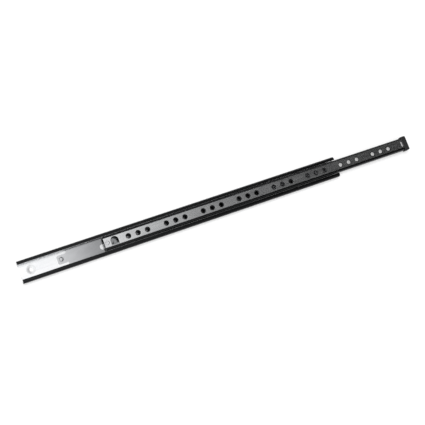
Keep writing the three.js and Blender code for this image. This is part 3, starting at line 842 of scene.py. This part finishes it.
def bends_painted_shade(tree, across):
    """The mask of painted shade on the drawer rail's bends and flanges, and on the punched edges of its
    web. The shade is shifted a little, so the bright strip between the bends lies off the middle."""
    high = corners("drawer_rail")[1]
    flat, foot = high.y - INNER_BEND, high.z - INNER_SHEET
    shifted = add_node(
        tree,
        "ShaderNodeMath",
        {"operation": "SUBTRACT"},
        {1: BRIGHT_STRIP_OFFSET * MM},
        {0: across.outputs["Y"]},
    )
    out = add_node(tree, "ShaderNodeMath", {"operation": "ABSOLUTE"}, links={0: shifted})
    bend = add_node(
        tree,
        "ShaderNodeMapRange",
        {"interpolation_type": "SMOOTHSTEP"},
        {"From Min": (flat + BEND_OUT[0]) * MM, "From Max": (flat + BEND_OUT[1]) * MM},
        {"Value": out},
    )
    below = add_node(
        tree,
        "ShaderNodeMapRange",
        values={"From Min": (high.z - HOLE_SHADE_DOWN[0]) * MM, "From Max": (high.z - HOLE_SHADE_DOWN[1]) * MM},
        links={"Value": across.outputs["Z"]},
    )
    above = add_node(
        tree,
        "ShaderNodeMapRange",
        values={"From Min": (foot + HOLE_SHADE_UP[0]) * MM, "From Max": (foot + HOLE_SHADE_UP[1]) * MM},
        links={"Value": across.outputs["Z"]},
    )
    # Painted shade on the punched edges: the sink slopes and the walls of the holes are painted dark.
    punched = add_node(tree, "ShaderNodeMath", {"operation": "MULTIPLY"}, links={0: below, 1: above})
    return add_node(tree, "ShaderNodeMath", {"operation": "MAXIMUM"}, links={0: bend, 1: punched})


def rolled_zinc(name, light, dull, shade_colour, rough, shade_mask):
    """Bright zinc plate on cold-rolled strip. The mill's rolls leave fine lines along the strip, and the
    plating clouds softly over a centimetre or so. The bends and lips are painted dark, as painted shade
    for the dark reflections that they would catch."""
    finish, tree, shader, place = new_finish(name, 1.0, rough)
    # Mill lines are a few hundredths of a mm apart: drawn 0.7 mm apart so that they show at all.
    lines_at = add_node(
        tree, "ShaderNodeMapping", values={"Scale": per_mm(70, 0.7, 0.7)}, links={"Vector": place}
    )
    lines = add_node(
        tree,
        "ShaderNodeTexNoise",
        values={"Scale": 1.0, "Detail": 4.0, "Roughness": 0.6},
        links={"Vector": lines_at},
    )
    clouds_at = add_node(
        tree, "ShaderNodeMapping", values={"Scale": per_mm(26, 11, 11)}, links={"Vector": place}
    )
    clouds = add_node(
        tree,
        "ShaderNodeTexNoise",
        values={"Scale": 1.0, "Detail": 3.0, "Roughness": 0.5},
        links={"Vector": clouds_at},
    )
    cloud_share = add_node(
        tree,
        "ShaderNodeMapRange",
        values={"From Min": 0.35, "From Max": 0.72, "To Min": 0.0, "To Max": 1.0},
        links={"Value": clouds.outputs["Fac"]},
    )
    plate = add_node(
        tree,
        "ShaderNodeMix",
        {"data_type": "RGBA"},
        {6: linear(light), 7: linear(dull)},
        {0: cloud_share},
    )
    across = add_node(tree, "ShaderNodeSeparateXYZ", links={0: place})
    # Painted shade: where the mask says, the plate is mixed to the dark colour, which stands in for dark
    # reflections.
    colour = add_node(
        tree,
        "ShaderNodeMix",
        {"data_type": "RGBA"},
        {7: linear(shade_colour)},
        {0: shade_mask(tree, across), 6: plate.outputs[2]},
    )
    tree.links.new(colour.outputs[2], shader.inputs["Base Color"])
    roughness = add_node(
        tree,
        "ShaderNodeMapRange",
        values={"From Min": 0.3, "From Max": 0.7, "To Min": rough - 0.05, "To Max": rough + 0.06},
        links={"Value": lines.outputs["Fac"]},
    )
    # The punch leaves the screw dimples' slopes, which lie below the top of the cabinet rail's web,
    # a little matt. All of the drawer rail lies higher.
    peened = add_node(
        tree,
        "ShaderNodeMapRange",
        values={
            "From Min": (OUTER_SHEET - PEENED_DOWN[0]) * MM,
            "From Max": (OUTER_SHEET - PEENED_DOWN[1]) * MM,
            "To Max": PEENED_ROUGHNESS,
        },
        links={"Value": across.outputs["Z"]},
    )
    rougher = add_node(tree, "ShaderNodeMath", {"operation": "ADD"}, links={0: roughness, 1: peened})
    tree.links.new(rougher.outputs[0], shader.inputs["Roughness"])
    bump = add_node(
        tree,
        "ShaderNodeBump",
        values={"Strength": 0.12, "Distance": 0.02 * MM},
        links={"Height": lines.outputs["Fac"]},
    )
    tree.links.new(bump.outputs[0], shader.inputs["Normal"])
    return finish


def cloudy_stains(tree, place):
    """Faint stains from the plating bath, a centimetre or two across."""
    stains_at = add_node(
        tree, "ShaderNodeMapping", values={"Scale": per_mm(18, 8, 8)}, links={"Vector": place}
    )
    stains = add_node(
        tree,
        "ShaderNodeTexNoise",
        values={"Scale": 1.0, "Detail": 4.0, "Roughness": 0.6},
        links={"Vector": stains_at},
    )
    return stains.outputs["Fac"]


def forward_shade_and_stains(tree, place):
    """Painted shade that darkens the cage from near its rear end towards its front, over the stains."""
    rear = corners("ball_cage")[0].x
    along = add_node(tree, "ShaderNodeSeparateXYZ", links={0: place})
    # Painted shade: from near the rear end forwards, the cage is painted darker.
    thickness = add_node(
        tree,
        "ShaderNodeMapRange",
        values={
            "From Min": (rear + FORWARD_SHADE_ALONG[0]) * MM,
            "From Max": (rear + FORWARD_SHADE_ALONG[1]) * MM,
            "To Max": FORWARD_SHADE_SHARE,
        },
        links={"Value": along.outputs["X"]},
    )
    patches = add_node(
        tree,
        "ShaderNodeMath",
        {"operation": "MULTIPLY_ADD"},
        {1: 0.4, 2: -0.1},
        {0: cloudy_stains(tree, place)},
    )
    share = add_node(
        tree,
        "ShaderNodeMath",
        {"operation": "ADD", "use_clamp": True},
        links={0: thickness, 1: patches},
    )
    return share


def satin_zinc(name, light, dull, rough, grain, darkened_share=cloudy_stains):
    """Satin zinc on thin pressed steel, barrel plated: greyer than the rails, with a fine even tooth
    from tumbling."""
    finish, tree, shader, place = new_finish(name, 1.0, rough)
    # The tumbled tooth is about 0.05 mm: drawn at the grain size given so that it shows.
    tooth_at = add_node(
        tree, "ShaderNodeMapping", values={"Scale": per_mm(grain, grain, grain)}, links={"Vector": place}
    )
    tooth = add_node(
        tree,
        "ShaderNodeTexNoise",
        values={"Scale": 1.0, "Detail": 2.0, "Roughness": 0.55},
        links={"Vector": tooth_at},
    )
    # The darker colour is mixed in by stains, and on the cage also by painted shade towards its front.
    colour = add_node(
        tree,
        "ShaderNodeMix",
        {"data_type": "RGBA"},
        {6: linear(light), 7: linear(dull)},
        {0: darkened_share(tree, place)},
    )
    tree.links.new(colour.outputs[2], shader.inputs["Base Color"])
    roughness = add_node(
        tree,
        "ShaderNodeMapRange",
        values={"From Min": 0.3, "From Max": 0.7, "To Min": rough - 0.06, "To Max": rough + 0.06},
        links={"Value": tooth.outputs["Fac"]},
    )
    tree.links.new(roughness.outputs[0], shader.inputs["Roughness"])
    bump = add_node(
        tree,
        "ShaderNodeBump",
        values={"Strength": 0.15, "Distance": 0.02 * MM},
        links={"Height": tooth.outputs["Fac"]},
    )
    tree.links.new(bump.outputs[0], shader.inputs["Normal"])
    return finish


def polished_ball_steel():
    """Hardened bearing steel, lapped nearly to a mirror, under a thin film of grease that dulls it in
    patches."""
    finish, tree, shader, place = new_finish("polished_bearing_steel", 1.0, 0.12)
    film_at = add_node(
        tree, "ShaderNodeMapping", values={"Scale": per_mm(1.6, 1.6, 1.6)}, links={"Vector": place}
    )
    film = add_node(
        tree,
        "ShaderNodeTexNoise",
        values={"Scale": 1.0, "Detail": 2.0},
        links={"Vector": film_at},
    )
    roughness = add_node(
        tree,
        "ShaderNodeMapRange",
        values={"From Min": 0.4, "From Max": 0.65, "To Min": 0.08, "To Max": 0.24},
        links={"Value": film.outputs["Fac"]},
    )
    colour = add_node(
        tree,
        "ShaderNodeMix",
        {"data_type": "RGBA"},
        {6: linear("D6D8DB"), 7: linear("B4B3AD")},
        {0: film.outputs["Fac"]},
    )
    tree.links.new(roughness.outputs[0], shader.inputs["Roughness"])
    tree.links.new(colour.outputs[2], shader.inputs["Base Color"])
    return finish


def drawn_wire():
    """Drawn spring wire: a dark drawing film with scores along the wire, about 0.1 mm apart."""
    finish, tree, shader, place = new_finish("drawn_spring_wire", 1.0, 0.34)
    scores_at = add_node(
        tree, "ShaderNodeMapping", values={"Scale": per_mm(0.9, 0.9, 0.12)}, links={"Vector": place}
    )
    scores = add_node(
        tree,
        "ShaderNodeTexNoise",
        values={"Scale": 1.0, "Detail": 3.0},
        links={"Vector": scores_at},
    )
    colour = add_node(
        tree,
        "ShaderNodeMix",
        {"data_type": "RGBA"},
        {6: linear("8E9194"), 7: linear("6C6E70")},
        {0: scores.outputs["Fac"]},
    )
    tree.links.new(colour.outputs[2], shader.inputs["Base Color"])
    bump = add_node(
        tree,
        "ShaderNodeBump",
        values={"Strength": 0.2, "Distance": 0.02 * MM},
        links={"Height": scores.outputs["Fac"]},
    )
    tree.links.new(bump.outputs[0], shader.inputs["Normal"])
    return finish


def moulded_black_plastic():
    """Black acetal, injection moulded in a spark-eroded tool: a fine matt grain, a little lighter
    where handling has polished it."""
    finish, tree, shader, place = new_finish("moulded_black_acetal", 0.0, 0.46)
    shader.inputs["IOR"].default_value = 1.48
    # The eroded grain is about 0.1 mm: drawn 0.35 mm across so that it shows.
    grain_at = add_node(
        tree, "ShaderNodeMapping", values={"Scale": per_mm(0.35, 0.35, 0.35)}, links={"Vector": place}
    )
    grain = add_node(
        tree,
        "ShaderNodeTexNoise",
        values={"Scale": 1.0, "Detail": 2.0},
        links={"Vector": grain_at},
    )
    rubbed_at = add_node(
        tree, "ShaderNodeMapping", values={"Scale": per_mm(4, 4, 4)}, links={"Vector": place}
    )
    rubbed = add_node(
        tree,
        "ShaderNodeTexNoise",
        values={"Scale": 1.0, "Detail": 3.0},
        links={"Vector": rubbed_at},
    )
    colour = add_node(
        tree,
        "ShaderNodeMix",
        {"data_type": "RGBA"},
        {6: linear("151516"), 7: linear("262627")},
        {0: rubbed.outputs["Fac"]},
    )
    tree.links.new(colour.outputs[2], shader.inputs["Base Color"])
    roughness = add_node(
        tree,
        "ShaderNodeMapRange",
        values={"From Min": 0.35, "From Max": 0.65, "To Min": 0.4, "To Max": 0.54},
        links={"Value": rubbed.outputs["Fac"]},
    )
    tree.links.new(roughness.outputs[0], shader.inputs["Roughness"])
    bump = add_node(
        tree,
        "ShaderNodeBump",
        values={"Strength": 0.25, "Distance": 0.05 * MM},
        links={"Height": grain.outputs["Fac"]},
    )
    tree.links.new(bump.outputs[0], shader.inputs["Normal"])
    return finish


# ---- Dressing the frame ---------------------------------------------------------------------
def dress(piece, node, body, finish):
    """The finished piece stands for its CAD node and moves with the node's body."""
    piece.data.materials.clear()
    piece.data.materials.append(finish)
    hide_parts(node)
    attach(piece, body)


# Each rail's third colour is painted shade, standing in for the dark reflections on its bends and lips.
outer_zinc = rolled_zinc("zinc_plated_strip_outer", "F4F5F6", "EEEFF1", "2A2B2C", 0.26, lips_painted_shade)
inner_zinc = rolled_zinc("zinc_plated_strip_inner", "E8E9EA", "DCDDDF", "323334", 0.2, bends_painted_shade)
# The cage's darker colour is painted shade towards its front, over stains.
cage_zinc = satin_zinc("satin_zinc_cage", "C4C5C7", "8E8F91", 0.2, 0.5, forward_shade_and_stains)
lever_zinc = satin_zinc("satin_zinc_lever", "A0A2A4", "8C8E90", 0.3, 0.4)
rivet_zinc = satin_zinc("satin_zinc_rivet", "E4E5E7", "D8D9DB", 0.24, 0.4)
ball_finish = polished_ball_steel()

dress(cabinet_rail(), "cabinet_rail", "cabinet", outer_zinc)
dress(drawer_rail(), "drawer_rail", "drawer", inner_zinc)
dress(ball_cage(), "ball_cage", "cage", cage_zinc)
for ball_node, ball in balls():
    dress(ball, ball_node, "cage", ball_finish)
dress(end_block(), "end_block", "drawer", moulded_black_plastic())
dress(latch_lever(), "latch_lever", "latch", lever_zinc)
dress(latch_rivet(), "latch_rivet", "drawer", rivet_zinc)
dress(latch_spring(), "latch_spring", "drawer", drawn_wire())


# ---- Studio ---------------------------------------------------------------------------------
def pale_floor():
    """A sheet of matt white paper. The camera sees it lifted to plain white, and it keeps the
    slide's contact shadow."""
    bpy.ops.object.select_all(action="DESELECT")
    bpy.ops.mesh.primitive_plane_add(size=FLOOR_SIZE, location=(0, 0, -FLOOR_DROP))
    floor = take("paper_floor")
    finish, tree, shader, place = new_finish("white_paper", 0.0, 0.9)
    fibres_at = add_node(
        tree, "ShaderNodeMapping", values={"Scale": per_mm(2, 2, 2)}, links={"Vector": place}
    )
    fibres = add_node(tree, "ShaderNodeTexNoise", values={"Scale": 1.0}, links={"Vector": fibres_at})
    paper = add_node(
        tree,
        "ShaderNodeMix",
        {"data_type": "RGBA"},
        {6: linear("E8E8E8"), 7: linear("E4E4E4")},
        {0: fibres.outputs["Fac"]},
    )
    tree.links.new(paper.outputs[2], shader.inputs["Base Color"])
    ray = add_node(tree, "ShaderNodeLightPath")
    lift = add_node(
        tree, "ShaderNodeMath", {"operation": "MULTIPLY"}, {1: FLOOR_LIFT}, {0: ray.outputs["Is Camera Ray"]}
    )
    glow = add_node(tree, "ShaderNodeEmission", links={"Strength": lift})
    both = add_node(tree, "ShaderNodeAddShader", links={0: shader, 1: glow})
    tree.links.new(both.outputs[0], tree.nodes["Material Output"].inputs["Surface"])
    floor.data.materials.append(finish)


def studio_world():
    """White all round for the eye. Polished steel sees plain grey walls over a white horizon and, in a
    strip of ceiling along the slide, a lamp above the rear end that dies away to dark at the front."""
    world = bpy.data.worlds.new("soft_studio")
    bpy.context.scene.world = world
    world.use_nodes = True
    tree = world.node_tree
    looking = add_node(tree, "ShaderNodeTexCoord").outputs["Generated"]
    way = add_node(tree, "ShaderNodeSeparateXYZ", links={0: looking})
    height = add_node(
        tree, "ShaderNodeMath", {"operation": "MAXIMUM"}, {1: LOWEST_RISE}, {0: way.outputs["Z"]}
    )
    along = add_node(
        tree, "ShaderNodeMath", {"operation": "DIVIDE"}, links={0: way.outputs["X"], 1: height}
    )
    across = add_node(
        tree, "ShaderNodeMath", {"operation": "DIVIDE"}, links={0: way.outputs["Y"], 1: height}
    )
    past = add_node(tree, "ShaderNodeMath", {"operation": "SUBTRACT"}, {1: LIGHT_END}, {0: along})
    past_end = add_node(tree, "ShaderNodeMath", {"operation": "MAXIMUM"}, {1: 0.0}, {0: past})
    fading = add_node(
        tree, "ShaderNodeMath", {"operation": "MULTIPLY"}, {1: -LIGHT_FADE}, {0: past_end}
    )
    fade = add_node(tree, "ShaderNodeMath", {"operation": "EXPONENT"}, links={0: fading})
    lamp = add_node(tree, "ShaderNodeMath", {"operation": "MULTIPLY"}, {1: LIGHT_LEVEL}, {0: fade})
    in_strip = []
    for slope, middle, (inner, outer) in (
        (along, STRIP_ALONG, STRIP_HALF_LENGTH),
        (across, STRIP_ACROSS, STRIP_HALF_WIDTH),
    ):
        off = add_node(tree, "ShaderNodeMath", {"operation": "SUBTRACT"}, {1: middle}, {0: slope})
        aside = add_node(tree, "ShaderNodeMath", {"operation": "ABSOLUTE"}, links={0: off})
        inside = add_node(
            tree,
            "ShaderNodeMapRange",
            {"interpolation_type": "SMOOTHSTEP"},
            {"From Min": inner, "From Max": outer, "To Min": 1.0, "To Max": 0.0},
            {"Value": aside},
        )
        in_strip.append(inside)
    strip = add_node(
        tree, "ShaderNodeMath", {"operation": "MULTIPLY"}, links={0: in_strip[0], 1: in_strip[1]}
    )
    ceiling = add_node(tree, "ShaderNodeMix", {"data_type": "FLOAT"}, {2: WALLS}, {0: strip, 3: lamp})
    horizon = add_node(
        tree,
        "ShaderNodeMapRange",
        {"interpolation_type": "SMOOTHSTEP"},
        {"From Min": HORIZON[0], "From Max": HORIZON[1], "To Min": 1.0, "To Max": 0.0},
        {"Value": way.outputs["Z"]},
    )
    seen_by_steel = add_node(
        tree, "ShaderNodeMath", {"operation": "MAXIMUM"}, links={0: ceiling, 1: horizon}
    )
    ray = add_node(tree, "ShaderNodeLightPath")
    soft = add_node(
        tree,
        "ShaderNodeMix",
        {"data_type": "FLOAT"},
        {2: WALLS},
        {0: ray.outputs["Is Glossy Ray"], 3: seen_by_steel},
    )
    backdrop = add_node(
        tree,
        "ShaderNodeMix",
        {"data_type": "FLOAT"},
        {3: 1.0},
        {0: ray.outputs["Is Camera Ray"], 2: soft},
    )
    tree.links.new(backdrop.outputs[0], tree.nodes["Background"].inputs["Strength"])
    tree.nodes["Background"].inputs["Color"].default_value = (1, 1, 1, 1)


def soft_lamp():
    """One large soft lamp over the slide, from a little behind it."""
    lamp = bpy.data.lights.new("overhead_softbox", "AREA")
    lamp.shape = "RECTANGLE"
    lamp.size, lamp.size_y = LAMP_SIZE
    lamp.energy = LAMP_WATTS
    holder = bpy.data.objects.new("overhead_softbox", lamp)
    bpy.context.collection.objects.link(holder)
    holder.location = LAMP_AT
    holder.rotation_euler = (-holder.location).to_track_quat("-Z", "Y").to_euler()
    holder.visible_glossy = False


def camera():
    """Looks down on the slide from its rear, turned so that the slide rises to the right."""
    at = Vector(CAMERA_AT)
    sight = (Vector(CAMERA_AIM) - at).normalized()
    right = sight.cross(Vector((0, 1, 0))).normalized()
    up = right.cross(sight)
    view = bpy.data.cameras.new("camera")
    view.sensor_width = CAMERA_SENSOR
    view.lens = CAMERA_LENS
    view.clip_start = 0.05
    view.clip_end = 50
    holder = bpy.data.objects.new("camera", view)
    bpy.context.collection.objects.link(holder)
    level_frame = Matrix((right, up, -sight)).transposed()
    turned = level_frame @ Matrix.Rotation(math.radians(CAMERA_TURN), 3, "Z")
    holder.matrix_world = Matrix.Translation(at) @ turned.to_4x4()
    bpy.context.scene.camera = holder


pale_floor()
studio_world()
soft_lamp()
camera()
bpy.context.scene.view_settings.view_transform = "Standard"
